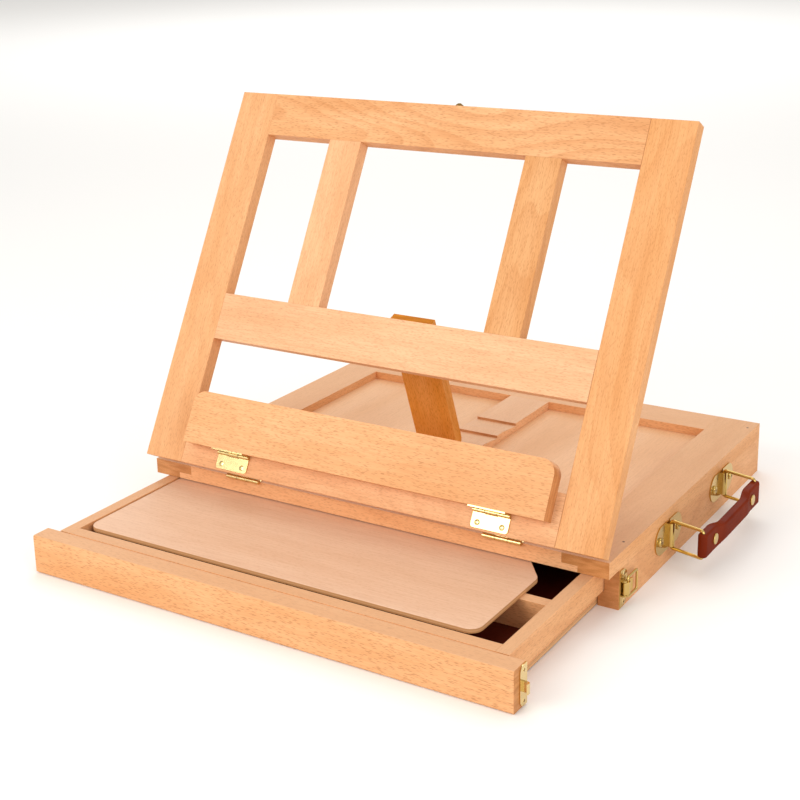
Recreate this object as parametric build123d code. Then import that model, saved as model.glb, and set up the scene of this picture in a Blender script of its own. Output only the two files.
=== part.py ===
from build123d import *
import math
import os

os.makedirs("parts", exist_ok=True)

# Tabletop box easel in beech: a flat box with a drawer, a hinged drawing frame and a carrying handle.
# All sizes are millimetres. X runs across the box, Y from the drawer front to the back, Z up.
# The origin is the middle of the back wall's underside, on the table.
# Every piece is drawn with the easel closed, then the drawer is pulled out and the frame raised.

# Pose at rest
lid_angle = 61.0
prop_angle = 70.0
drawer_out = 119.0
handle_angle = -14.0

# Box
box_width = 340.0
box_depth = 265.0
wall_height = 26.0
wall_thick = 9.4
back_wall_thick = 10.0
ledge_width = 4.1
ledge_height = 10.0
front_setback = 14.8

# Deck: rails round two recessed plywood floors, with a notched rail between them
deck_thick = 10.5
rail_width = 30.5
lap_length = 10.4
lap_height = 4.0
ratchet_width = 32.0
recess_depth = 6.0
ply_thick = 3.0
groove_depth = 4.0

# Notches in the middle rail that hold the prop's foot
notch_pitch = 28.7
notch_land = 9.4
notch_depth = 2.0
first_notch = 94.4
notch_count = 4

# Drawer
drawer_front_thick = 14.0
drawer_gap = 0.4
drawer_wall = 8.3
drawer_end_wall = 8.8
drawer_back_gap = 1.0
runner_gap = 0.3
side_gap = 0.5
front_divider_at = 79.5
divider_thick = 8.0

# Palette lying in the drawer
palette_lift_gap = 19.6
palette_depth = 188.0
palette_thick = 3.0
palette_down = 0.5
palette_corner = 8.0
palette_side_gap = 1.0
palette_front_gap = 6.2
palette_overhang = 16.5
palette_straight = 74.5
palette_cut_width = 28.0
palette_cut_depth = 37.0
thumb_hole_radius = 13.0

# Drawing frame, which is also the lid
lid_gap = 0.8
frame_thick = 10.0
stile_width = 30.5
top_rail_width = 30.0
middle_rail_at = 87.0
middle_rail_width = 32.0
bottom_rail_width = 32.0
muntin_width = 25.0
muntin_centre = 74.5
tenon_length = 9.0
tenon_thick = 3.4
edge_round = 1.2

# Canvas ledge, a bar hinged on the frame's face
ledge_length = 268.0
ledge_bar_width = 35.6
ledge_bar_thick = 10.5
ledge_corner = 9.0
ledge_pivot_up = 11.9

# Prop
prop_width = 31.0
prop_thick = 7.7
prop_centre = 1.8
prop_fold_in = 1.4
prop_taper_length = 15.0
prop_taper_side = 5.5
foot_bevel = 3.7
prop_root_gap = 0.3
foot_clearance = 0.35

# Hinges
pin_radius = 0.6
pin_clearance = 0.06
knuckle_gap = 0.3
lid_hinge_length = 26.0
lid_hinge_radius = 1.6
lid_hinge_leaf = 13.0
lid_hinge_forward = 1.6
leaf_gap = 0.1
leaf_thick = 0.75
lid_hinge_centres = (-93.5, 101.0)
ledge_hinge_length = 25.0
ledge_hinge_radius = 1.45
ledge_hinge_leaf = 10.6
ledge_hinge_rise = 8.6
ledge_leaf_thick = 0.85
ledge_hinge_centres = (-97.3, 96.2)
prop_hinge_length = 25.0
prop_hinge_radius = 1.2
prop_hinge_leaf = 13.0
prop_leaf_thick = 0.6
prop_pivot_drop = 0.45

# Screws and nails
screw_head_radius = 1.9
screw_head_depth = 1.0
screw_radius = 0.9
screw_length = 7.0
screw_dome = 0.4
nail_radius = 0.8
nail_length = 20.0

# Draw latch
latch_centre = 13.2
latch_plate_length = 24.0
latch_plate_width = 10.0
latch_plate_thick = 0.8
latch_edge_gap = 0.3
latch_pin_out = 2.3
latch_pin_in = 3.2
ear_inner = 4.3
ear_thick = 0.9
lever_half = 3.9
lever_length = 9.2
loop_wire = 0.8
loop_pivot_ahead = 2.6
loop_half = 6.4
loop_length = 13.6
strike_width = 7.7
hook_half = 3.1

# Half round stud of the lid's catch, on the frame's top edge
stud_at = 4.1
stud_radius = 3.1
stud_proud = 2.8
stud_thick = 4.0
stud_peg_radius = 1.2
stud_peg_length = 6.0

# Carrying handle
handle_height = 19.6
bracket_at = (90.0, 185.5)
bracket_length = 43.0
bracket_width = 19.0
bracket_plate = 1.0
saddle_height = 15.6
saddle_wall = 1.2
handle_wire = 1.1
handle_wire_gap = 0.2
handle_arm_half = 9.2
handle_reach = 23.9
handle_bend = 2.0
grip_thick = 6.2
grip_height = 15.6
grip_end = 3.2
grip_bow = 2.1
grip_waist = 2.05
grip_straight = 13.0
grip_bend = 16.0
grip_edge_round = 1.4
rivet_inboard = 13.0
rivet_radius = 3.6
rivet_head = 0.9
handle_screw_inset = 15.0
handle_screw_head = 2.9
handle_screw_head_height = 1.5
handle_screw_length = 8.0

# Places that follow from the sizes above
half_width = box_width / 2
front_y = back_wall_thick / 2 - box_depth
back_y = back_wall_thick / 2
deck_top = wall_height + deck_thick
floor_top = deck_top - recess_depth
wall_front_y = front_y + front_setback
wall_inner = half_width - wall_thick
ledge_inner = wall_inner - ledge_width
rail_inner = half_width - rail_width
lid_z = deck_top + lid_gap
lid_top = lid_z + frame_thick
lid_axis_y = front_y - lid_hinge_forward
lid_axis_z = deck_top + lid_gap / 2
prop_axis_y = front_y + middle_rail_at + middle_rail_width + prop_root_gap
prop_axis_z = lid_z - prop_pivot_drop
ledge_axis_y = front_y + ledge_pivot_up
ledge_axis_z = lid_top + ledge_hinge_radius + 0.05
prop_turn = lid_angle + prop_angle + prop_fold_in

nodes = {}


def block(x0, x1, y0, y1, z0, z1):
    """A box between two corners"""
    return Pos((x0 + x1) / 2, (y0 + y1) / 2, (z0 + z1) / 2) * Box(x1 - x0, y1 - y0, z1 - z0)


def rod(radius, length, centre, direction):
    """A cylinder centred on a point, along a direction"""
    return Plane(origin=centre, z_dir=direction).location * Cylinder(radius, length)


def soften(shape, axis, radius):
    """Round the edges that run along one axis"""
    return fillet(shape.edges().filter_by(axis), radius)


def open_lid(shape):
    """Turn a piece of the lid from closed to its angle at rest"""
    return shape.rotate(Axis((0, lid_axis_y, lid_axis_z), (1, 0, 0)), lid_angle)


def swing_prop(shape):
    """Turn a piece of the folded prop down to its angle at rest, with the lid raised"""
    down = shape.rotate(Axis((0, prop_axis_y, prop_axis_z), (1, 0, 0)), prop_fold_in - prop_turn)
    return open_lid(down)


def pull_drawer(shape):
    """Slide a piece of the drawer out to its place at rest"""
    return Pos(0, -drawer_out, 0) * shape


def screw(centre, outward, dome=0.0):
    """A countersunk wood screw whose head is flush with the face at its centre"""
    head = Pos(0, 0, -screw_head_depth / 2) * Cone(screw_radius, screw_head_radius, screw_head_depth)
    shank = Pos(0, 0, -screw_length / 2) * Cylinder(screw_radius, screw_length)
    body = head + shank
    if dome:
        cap_radius = (screw_head_radius ** 2 + dome ** 2) / (2 * dome)
        cap = Pos(0, 0, dome - cap_radius) * Sphere(cap_radius)
        body += cap & Pos(0, 0, dome / 2) * Cylinder(screw_head_radius, dome)
    hole = body
    for turn in (0, 90):
        body -= Pos(0, 0, dome) * Rot(0, 0, turn) * Box(2.2, 0.5, 1.1)
    place = Plane(origin=centre, z_dir=outward).location
    return place * body, place * hole


def hinge_leaf(length, radius, width, low, high, own, turn):
    """One leaf of a butt hinge on the X axis: own lists the thirds that its knuckles take"""
    third = length / 3
    leaf = block(-length / 2, length / 2, radius + knuckle_gap, width, low, high)
    for index in own:
        start = -length / 2 + index * third + (knuckle_gap / 2 if index else 0)
        end = -length / 2 + (index + 1) * third - (knuckle_gap / 2 if index < 2 else 0)
        leaf += rod(radius, end - start, ((start + end) / 2, 0, 0), (1, 0, 0))
        leaf += block(start, end, 0, radius + knuckle_gap + 0.5, max(low, -radius), min(high, radius))
    leaf -= rod(pin_radius + pin_clearance, length + 2, (0, 0, 0), (1, 0, 0))
    return Rot(turn, 0, 0) * leaf


def hinge_pin(length):
    """The pin of a butt hinge on the X axis, with small rounded ends"""
    return fillet(rod(pin_radius, length, (0, 0, 0), (1, 0, 0)).edges(), pin_radius * 0.4)


def fit_screws(piece, centres, outward, dome=0.0):
    """Cut screw holes in a piece and return it with its screws"""
    screws = []
    for centre in centres:
        body, hole = screw(centre, outward, dome)
        piece -= hole
        screws.append(body)
    return piece, screws


def cut_holes(piece, centres, outward, dome=0.0):
    """Cut the same screw holes in the wood behind"""
    for centre in centres:
        piece -= screw(centre, outward, dome)[1]
    return piece


# Lid hinges: two butt hinges between the deck's front rail and the frame's bottom rail
deck_leaves = []
lid_leaves = []
lid_pins = []
deck_leaf_screws = []
lid_leaf_screws = []
lid_screw_y = lid_axis_y + lid_hinge_leaf - 4.0
deck_leaf_top = lid_axis_z - leaf_gap / 2
lid_leaf_low = lid_axis_z + leaf_gap / 2
deck_screw_places = []
lid_screw_places = []
for centre in lid_hinge_centres:
    place = Pos(centre, lid_axis_y, lid_axis_z)
    down = (-leaf_gap / 2 - leaf_thick, -leaf_gap / 2)
    up = (leaf_gap / 2, leaf_gap / 2 + leaf_thick)
    deck_leaf = place * hinge_leaf(lid_hinge_length, lid_hinge_radius, lid_hinge_leaf, *down, (0, 2), 0)
    lid_leaf = place * hinge_leaf(lid_hinge_length, lid_hinge_radius, lid_hinge_leaf, *up, (1,), 0)
    deck_spots = [(centre + side * lid_hinge_length / 3, lid_screw_y, deck_leaf_top) for side in (-1, 1)]
    lid_spots = [(centre + side * lid_hinge_length / 3, lid_screw_y, lid_leaf_low) for side in (-1, 1)]
    deck_leaf, screws = fit_screws(deck_leaf, deck_spots, (0, 0, 1))
    deck_leaf_screws += screws
    lid_leaf, screws = fit_screws(lid_leaf, lid_spots, (0, 0, -1))
    lid_leaf_screws += screws
    deck_leaves.append(deck_leaf)
    lid_leaves.append(lid_leaf)
    lid_pins.append(place * hinge_pin(lid_hinge_length))
    deck_screw_places += deck_spots
    lid_screw_places += lid_spots


def leaf_seats(low, high):
    """Shallow seats for the lid hinges' leaves and knuckles"""
    seats = []
    for centre in lid_hinge_centres:
        half = lid_hinge_length / 2
        seats.append(block(centre - half, centre + half, front_y - 1, lid_axis_y + lid_hinge_leaf, low, high))
        middle = (centre, lid_axis_y, lid_axis_z)
        seats.append(rod(lid_hinge_radius + knuckle_gap, lid_hinge_length, middle, (1, 0, 0)))
    return seats


# Deck rails, with half laps at the corners and grooves for the plywood floors
ply_top = floor_top
ply_low = floor_top - ply_thick
front_inner_y = front_y + rail_width
back_inner_y = back_y - rail_width
nail_x = half_width - wall_thick / 2
nail_ys = (front_y + 31.1, back_y - 12.8)
nails = [
    rod(nail_radius, nail_length, (side * nail_x, y, deck_top - nail_length / 2), (0, 0, 1))
    for side in (-1, 1)
    for y in nail_ys
]


def deck_side_rail(side):
    """A rail along one side of the deck, over the front and back rails' laps"""
    rail = block(rail_inner, half_width, front_y, back_y, wall_height, deck_top)
    for y0, y1 in ((front_y, front_inner_y), (back_inner_y, back_y)):
        rail -= block(rail_inner, rail_inner + lap_length, y0, y1, wall_height, wall_height + lap_height)
    rail -= block(rail_inner, rail_inner + groove_depth, front_inner_y, back_inner_y, ply_low, ply_top)
    return rail if side > 0 else mirror(rail, Plane.YZ)


def deck_end_rail(y0, y1, groove_y0, groove_y1):
    """The front or back rail of the deck"""
    rail = block(-rail_inner, rail_inner, y0, y1, wall_height, deck_top)
    lap_half = rail_inner + lap_length
    rail += block(-lap_half, lap_half, y0, y1, wall_height, wall_height + lap_height)
    for side in (-1, 1):
        inner = ratchet_width / 2 - groove_depth
        x0, x1 = sorted((side * inner, side * rail_inner))
        rail -= block(x0, x1, groove_y0, groove_y1, ply_low, ply_top)
    return rail


def ratchet_profile():
    """Side view of the notched rail: each notch has an upright step, a land and a ramp to the next"""
    points = [(front_inner_y, wall_height), (front_inner_y, deck_top)]
    for index in range(notch_count):
        step = front_y + first_notch + index * notch_pitch
        points.append((step - notch_pitch + notch_land, deck_top))
        points.append((step, deck_top - notch_depth))
        points.append((step, deck_top))
    points += [(back_inner_y, deck_top), (back_inner_y, wall_height)]
    return points


def ratchet_rail():
    """The middle rail with its row of notches and a groove in each side"""
    face = Plane.YZ * make_face(Polyline(*ratchet_profile(), close=True))
    rail = Pos(-ratchet_width / 2, 0, 0) * extrude(face, ratchet_width, dir=(1, 0, 0))
    for side in (-1, 1):
        x0, x1 = sorted((side * (ratchet_width / 2 - groove_depth), side * ratchet_width / 2))
        rail -= block(x0, x1, front_inner_y, back_inner_y, ply_low, ply_top)
    return rail


def deck_floor(side):
    """A plywood floor held in the rails' grooves"""
    inner = ratchet_width / 2 - groove_depth
    near = front_inner_y - groove_depth
    floor = block(inner, rail_inner, near, back_inner_y + groove_depth, ply_low, ply_top)
    floor += block(rail_inner, rail_inner + groove_depth, front_inner_y, back_inner_y, ply_low, ply_top)
    return floor if side > 0 else mirror(floor, Plane.YZ)


deck_front = deck_end_rail(front_y, front_inner_y, front_inner_y - groove_depth, front_inner_y)
for seat in leaf_seats(deck_leaf_top - leaf_thick, deck_top + 1):
    deck_front -= seat
deck_front = cut_holes(deck_front, deck_screw_places, (0, 0, 1))
deck_back = deck_end_rail(back_inner_y, back_y, back_inner_y, back_inner_y + groove_depth)
deck_right = deck_side_rail(1)
deck_left = deck_side_rail(-1)


def side_wall():
    """The right wall of the box, with the ledge that the drawer slides on"""
    wall = block(wall_inner, half_width, wall_front_y, back_y, 0, wall_height)
    wall += block(ledge_inner, wall_inner + 1, wall_front_y, back_y - back_wall_thick, 0, ledge_height)
    corner = wall.edges().filter_by(Axis.Y).sort_by(Axis.Z)[0:2].sort_by(Axis.X)[0]
    return fillet(corner, 1.5)


right_wall = side_wall()
left_wall = mirror(right_wall, Plane.YZ)
back_wall = block(-wall_inner, wall_inner, back_y - back_wall_thick, back_y, 0, wall_height)
for nail in nails:
    deck_right -= nail
    deck_left -= nail
    right_wall -= nail
    left_wall -= nail

# Drawer, drawn closed
drawer_low = drawer_gap
drawer_high = wall_height - drawer_gap
drawer_bottom_top = drawer_low + ply_thick
drawer_outer = wall_inner - side_gap
drawer_inner = drawer_outer - drawer_wall
drawer_lower_outer = ledge_inner - side_gap - 0.2
runner_z = ledge_height + runner_gap
drawer_start = front_y + drawer_front_thick
drawer_end = back_y - back_wall_thick - drawer_back_gap
divider_top = drawer_high - palette_down - palette_thick
palette_near = drawer_start + drawer_end_wall + palette_front_gap
rear_divider_y = palette_near + palette_depth - palette_overhang - divider_thick


def drawer_side(side):
    """A drawer side, cut back below to ride on the wall's ledge"""
    wall = block(drawer_inner, drawer_outer, drawer_start, drawer_end, runner_z, drawer_high)
    wall += block(drawer_inner, drawer_lower_outer, drawer_start, drawer_end, drawer_bottom_top, runner_z)
    return wall if side > 0 else mirror(wall, Plane.YZ)


def drawer_cross(y0, thick, top):
    """A wall across the inside of the drawer"""
    return block(-drawer_inner, drawer_inner, y0, y0 + thick, drawer_bottom_top, top)


drawer_front = block(-half_width, half_width, front_y, drawer_start, drawer_low, drawer_high)
drawer_front = soften(drawer_front, Axis.X, edge_round)
drawer_bottom = block(
    -drawer_lower_outer, drawer_lower_outer, drawer_start, drawer_end, drawer_low, drawer_bottom_top
)


def palette_board():
    """A thin palette with round corners, a cut away corner and a thumb hole"""
    left = -drawer_inner + palette_side_gap
    right = drawer_inner - palette_lift_gap
    near = palette_near
    far = near + palette_depth
    waist = right - palette_cut_width
    cut_y = near + palette_straight
    outline = FilletPolyline(
        (left, near),
        (right, near),
        (right, cut_y),
        (waist, cut_y + palette_cut_depth),
        (waist, far),
        (left, far),
        radius=palette_corner,
        close=True,
    )
    low = divider_top
    board = Pos(0, 0, low) * extrude(make_face(outline), palette_thick)
    hole_at = (waist - 2.6 * thumb_hole_radius, cut_y + palette_cut_depth + thumb_hole_radius)
    board -= rod(thumb_hole_radius, 3 * palette_thick, (*hole_at, low + palette_thick / 2), (0, 0, 1))
    rims = board.edges().filter_by(lambda edge: abs(edge.center().Z - low - palette_thick) < 0.01)
    return fillet(rims, 0.6)


# Draw latch, in its own frame: x out of the wood, y from the seam over the base, z along the pin
lever_axis = (latch_pin_out, latch_pin_in)
loop_axis = (latch_pin_out + 0.7, latch_pin_in + loop_pivot_ahead)
latch_screw_z = latch_plate_length / 2 - 3.0
latch_screw_y = latch_plate_width * 0.5


def plan_prism(points, z_half):
    """A prism along z from an outline in x and y, centred on z = 0"""
    face = make_face(Polyline(*points, close=True))
    return Pos(0, 0, -z_half) * extrude(face, 2 * z_half)


def latch_base():
    """The base plate with two ears that hold the lever's pin"""
    half = latch_plate_length / 2
    plate = block(0, latch_plate_thick, latch_edge_gap, latch_plate_width, -half, half)
    far = plate.edges().filter_by(Axis.X).group_by(Axis.Y)[-1]
    plate = fillet(far, latch_plate_width * 0.6)
    ear = block(0, latch_pin_out, latch_pin_in - 1.2, latch_pin_in + 1.2, ear_inner, ear_inner + ear_thick)
    ear += rod(1.2, ear_thick, (latch_pin_out, latch_pin_in, ear_inner + ear_thick / 2), (0, 0, 1))
    plate += ear + mirror(ear, Plane.XY)
    pin_hole = rod(pin_radius, latch_plate_length, (*lever_axis, 0), (0, 0, 1))
    return plate - pin_hole


def latch_pin():
    """The pin through the ears and the lever"""
    length = 2 * (ear_inner + ear_thick)
    return rod(pin_radius, length, (*lever_axis, 0), (0, 0, 1))


def latch_lever():
    """The lever, folded flat over the base: a rounded root round the pin and a tongue"""
    x0, y0 = lever_axis
    low = latch_plate_thick + 0.3
    tip = latch_pin_in + lever_length
    outline = [
        (x0 - 0.1, y0),
        (low, y0 + 0.4),
        (low, y0 + 4.6),
        (low + 0.5, tip - 3.0),
        (low + 1.6, tip),
        (low + 2.4, tip - 0.2),
        (low + 1.7, tip - 3.2),
        (loop_axis[0] + 0.4, loop_axis[1] + 2.0),
        (loop_axis[0] + 1.5, loop_axis[1] + 0.9),
        (loop_axis[0] + 1.5, loop_axis[1] - 0.9),
        (x0 + 1.1, y0),
    ]
    lever = plan_prism(outline, lever_half)
    lever += rod(1.1, 2 * lever_half, (*lever_axis, 0), (0, 0, 1))
    lever -= rod(pin_radius + pin_clearance, 20, (*lever_axis, 0), (0, 0, 1))
    lever -= rod(loop_wire + pin_clearance, 20, (*loop_axis, 0), (0, 0, 1))
    return lever


def latch_loop():
    """The wire loop, folded back over the lever, with its two ends turned into the lever"""
    x, y = loop_axis
    stub = lever_half - 1.6
    route = FilletPolyline(
        (x, y, stub),
        (x, y, loop_half),
        (x, y + loop_length, loop_half),
        (x, y + loop_length, -loop_half),
        (x, y, -loop_half),
        (x, y, -stub),
        radius=1.5,
    )
    start = Plane(origin=(x, y, stub), z_dir=(0, 0, 1))
    return sweep(start * Circle(loop_wire), path=route)


def latch_strike():
    """The plate with the hook that the loop catches, beyond the seam"""
    gap = front_setback - drawer_front_thick + latch_edge_gap
    half = latch_plate_length / 2
    plate = block(0, latch_plate_thick, -gap - strike_width, -gap, -half, half)
    far = plate.edges().filter_by(Axis.X).group_by(Axis.Y)[0]
    plate = fillet(far, strike_width * 0.55)
    bar_y = loop_axis[1] - loop_length
    bar_x = loop_axis[0]
    root = bar_y + loop_wire + 0.4
    lip = bar_x + loop_wire + 0.4
    outline = [
        (0.2, root + 1.6),
        (0.2, root),
        (lip, root),
        (lip, bar_y - 0.6),
        (lip + 0.8, bar_y - 0.6),
        (lip + 0.8, root + 0.4),
        (lip - 0.2, root + 1.2),
    ]
    return plate + plan_prism(outline, hook_half)


latch_screw_spots = [(latch_plate_thick, latch_screw_y, side * latch_screw_z) for side in (-1, 1)]
strike_gap = front_setback - drawer_front_thick + latch_edge_gap
strike_screw_spots = [
    (latch_plate_thick, -strike_gap - strike_width * 0.5, side * latch_screw_z) for side in (-1, 1)
]
latch_corner = (half_width, wall_front_y, latch_centre)
latch_place = Plane(origin=latch_corner, x_dir=(1, 0, 0), z_dir=(0, 0, 1)).location


def placed_screws(place, spots, dome):
    """Screws of a latch plate and the holes that they need, moved to the plate's place"""
    pairs = [screw(spot, (1, 0, 0), dome) for spot in spots]
    return [place * body for body, _ in pairs], [place * hole for _, hole in pairs]


base_screws, base_holes = placed_screws(latch_place, latch_screw_spots, screw_dome)
base_plate = latch_place * latch_base()
for hole in base_holes:
    base_plate -= hole
    right_wall -= hole
strike_screws, strike_holes = placed_screws(latch_place, strike_screw_spots, screw_dome)
strike = latch_place * latch_strike()
for hole in strike_holes:
    strike -= hole
    drawer_front -= hole

# Handle: two bracket plates, two wire loops and a grip
bracket_ys = [front_y + at for at in bracket_at]
wire_x = half_width + bracket_plate + handle_wire + handle_wire_gap
swing = math.radians(handle_angle)
grip_shift = (handle_reach * math.cos(swing), handle_reach * math.sin(swing))


def handle_bracket(y):
    """A bracket plate with a raised saddle over the loop's inner leg"""
    face = Plane.YZ * SlotOverall(bracket_length, bracket_width)
    plate = Pos(half_width, y, handle_height) * extrude(face, bracket_plate, dir=(1, 0, 0))
    outer = handle_wire + handle_wire_gap + saddle_wall
    z0 = handle_height - saddle_height / 2
    z1 = handle_height + saddle_height / 2
    plate += block(half_width, wire_x, y - outer, y + outer, z0, z1)
    plate += rod(outer, saddle_height, (wire_x, y, handle_height), (0, 0, 1))
    inner = handle_wire + handle_wire_gap
    plate -= rod(inner, saddle_height + 20, (wire_x, y, handle_height), (0, 0, 1))
    plate -= block(half_width - 1, wire_x, y - inner, y + inner, z0 - 5, z1 + 5)
    return plate


def handle_loop(y):
    """A closed loop of thick wire from the bracket to the grip, straight out from the wall"""
    z0 = handle_height - handle_arm_half
    z1 = handle_height + handle_arm_half
    far = wire_x + handle_reach
    corners = ((wire_x, y, z0), (wire_x, y, z1), (far, y, z1), (far, y, z0))
    route = FilletPolyline(*corners, radius=handle_bend, close=True)
    start = Plane(origin=route @ 0, z_dir=route % 0)
    loop = sweep(start * Circle(handle_wire), path=route)
    return loop.rotate(Axis((wire_x, y, 0), (0, 0, 1)), handle_angle)


def bowed(points_y, start, middle):
    """A line along Y, straight at both ends, that bows out to another straight line between them"""
    y0, y1 = points_y
    ya = y0 + grip_end + grip_straight
    yb = y1 - grip_end - grip_straight
    away = Spline((start, ya), (middle, ya + grip_bend), tangents=[(0, 1), (0, 1)])
    back = Spline((middle, yb - grip_bend), (start, yb), tangents=[(0, 1), (0, 1)])
    between = Line((middle, ya + grip_bend), (middle, yb - grip_bend))
    return Line((start, y0), (start, ya)) + away + between + back + Line((start, yb), (start, y1))


def bowed_slab(points_y, low, low_middle, high, high_middle):
    """A flat face between two bowed lines"""
    y0, y1 = points_y
    sides = bowed(points_y, low, low_middle) + bowed(points_y, high, high_middle)
    return make_face(sides + Line((low, y0), (high, y0)) + Line((low, y1), (high, y1)))


def handle_grip():
    """The grip: bowed away from the wall, slimmer in the middle, its ends folded round the loops"""
    x = wire_x + grip_shift[0]
    y0, y1 = (y + grip_shift[1] for y in bracket_ys)
    ends = (y0 - grip_end, y1 + grip_end)
    half = grip_thick / 2
    plan = bowed_slab(ends, x - half, x - half + grip_bow, x + half, x + half + grip_bow)
    tall = grip_height / 2
    side = bowed_slab(ends, -tall, grip_waist - tall, tall, tall - grip_waist)
    grip = Pos(0, 0, handle_height - tall) * extrude(plan, grip_height)
    front = Plane(origin=(x - 20, 0, handle_height), x_dir=(0, 0, 1), z_dir=(-1, 0, 0))
    grip &= front.location * extrude(side, -40)
    grip = fillet(grip.edges().filter_by(Axis.Z), grip_thick * 0.45)
    long_edges = grip.edges().filter_by(lambda edge: edge.length > grip_straight * 0.5)
    grip = fillet(long_edges, grip_edge_round)
    for y in (y0, y1):
        grip -= rod(handle_wire + handle_wire_gap, grip_height + 4, (x, y, handle_height), (0, 0, 1))
    return grip


def rivets():
    """A rivet through the grip beside each loop"""
    x = wire_x + grip_shift[0]
    out = []
    for index, y in enumerate(bracket_ys):
        at = y + grip_shift[1] + (rivet_inboard if index == 0 else -rivet_inboard)
        rivet = rod(rivet_radius * 0.5, grip_thick, (x, at, handle_height), (1, 0, 0))
        for side in (-1, 1):
            head_x = x + side * (grip_thick / 2 + rivet_head / 2)
            head = rod(rivet_radius, rivet_head, (head_x, at, handle_height), (1, 0, 0))
            rim = head.edges().group_by(Axis.X)[-1 if side > 0 else 0]
            rivet += fillet(rim, rivet_head * 0.6)
        out.append(rivet)
    return out


def handle_screw(y):
    """A round headed screw that holds a bracket, and its hole"""
    out = half_width + bracket_plate
    middle = (out + handle_screw_head_height / 2, y, handle_height)
    head = rod(handle_screw_head, handle_screw_head_height, middle, (1, 0, 0))
    head = fillet(head.edges().group_by(Axis.X)[-1], handle_screw_head_height * 0.7)
    shank = rod(1.4, handle_screw_length, (out - handle_screw_length / 2, y, handle_height), (1, 0, 0))
    hole = shank
    body = head + shank
    for turn in (0, 90):
        slot = Pos(out + handle_screw_head_height, y, handle_height) * Rot(turn, 0, 0) * Box(1.4, 0.6, 3.0)
        body -= slot
    return body, hole


brackets = []
handle_screws = []
for y in bracket_ys:
    bracket = handle_bracket(y)
    for side in (-1, 1):
        body, hole = handle_screw(y + side * handle_screw_inset)
        bracket -= hole
        right_wall -= hole
        handle_screws.append(body)
    brackets.append(bracket)
grip = handle_grip()
grip_rivets = rivets()
for rivet in grip_rivets:
    grip -= rivet

# Drawing frame, drawn closed on the deck
frame_x = half_width - stile_width
frame_mid_z = lid_z + frame_thick / 2
frame_back_y = front_y + box_depth


def tenon(x0, x1, y0, y1):
    """A stub tenon in the middle of the frame's thickness"""
    return block(x0, x1, y0, y1, frame_mid_z - tenon_thick / 2, frame_mid_z + tenon_thick / 2)


rail_spans = {
    "panel_bottom_rail": (front_y, front_y + bottom_rail_width),
    "panel_middle_rail": (front_y + middle_rail_at, front_y + middle_rail_at + middle_rail_width),
    "panel_top_rail": (frame_back_y - top_rail_width, frame_back_y),
}
frame_rails = {}
side_tenons = []
for name, (y0, y1) in rail_spans.items():
    rail = block(-frame_x, frame_x, y0, y1, lid_z, lid_top)
    for side in (-1, 1):
        x0, x1 = sorted((side * frame_x, side * (frame_x + tenon_length)))
        stub = tenon(x0, x1, y0 + 5, y1 - 5)
        rail += stub
        side_tenons.append(stub)
    frame_rails[name] = rail

muntins = []
for side in (-1, 1):
    x0 = side * muntin_centre - muntin_width / 2
    x1 = side * muntin_centre + muntin_width / 2
    y0 = rail_spans["panel_middle_rail"][1]
    y1 = rail_spans["panel_top_rail"][0]
    muntin = block(x0, x1, y0, y1, lid_z, lid_top)
    stub_spans = (("panel_middle_rail", y0 - tenon_length, y0), ("panel_top_rail", y1, y1 + tenon_length))
    for name, s0, s1 in stub_spans:
        stub = tenon(x0 + 4, x1 - 4, s0, s1)
        muntin += stub
        frame_rails[name] -= stub
    muntins.append(muntin)

right_stile = soften(block(frame_x, half_width, front_y, frame_back_y, lid_z, lid_top), Axis.Y, 0.5)
for stub in side_tenons:
    right_stile -= stub
left_stile = mirror(right_stile, Plane.YZ)
for seat in leaf_seats(lid_z - 1, lid_leaf_low + leaf_thick):
    frame_rails["panel_bottom_rail"] -= seat
frame_rails["panel_bottom_rail"] = cut_holes(frame_rails["panel_bottom_rail"], lid_screw_places, (0, 0, -1))


def catch_stud():
    """A half round stud with a peg driven into the frame's top edge"""
    middle = (stud_at, frame_back_y - stud_radius + stud_proud, frame_mid_z)
    head = rod(stud_radius, stud_thick, middle, (0, 0, 1))
    head &= block(stud_at - 10, stud_at + 10, frame_back_y, frame_back_y + 10, lid_z, lid_top)
    peg_middle = (stud_at, frame_back_y - stud_peg_length / 2, frame_mid_z)
    peg = rod(stud_peg_radius, stud_peg_length, peg_middle, (0, 1, 0))
    return head + peg, peg


stud, stud_hole = catch_stud()
frame_rails["panel_top_rail"] -= stud_hole

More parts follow.
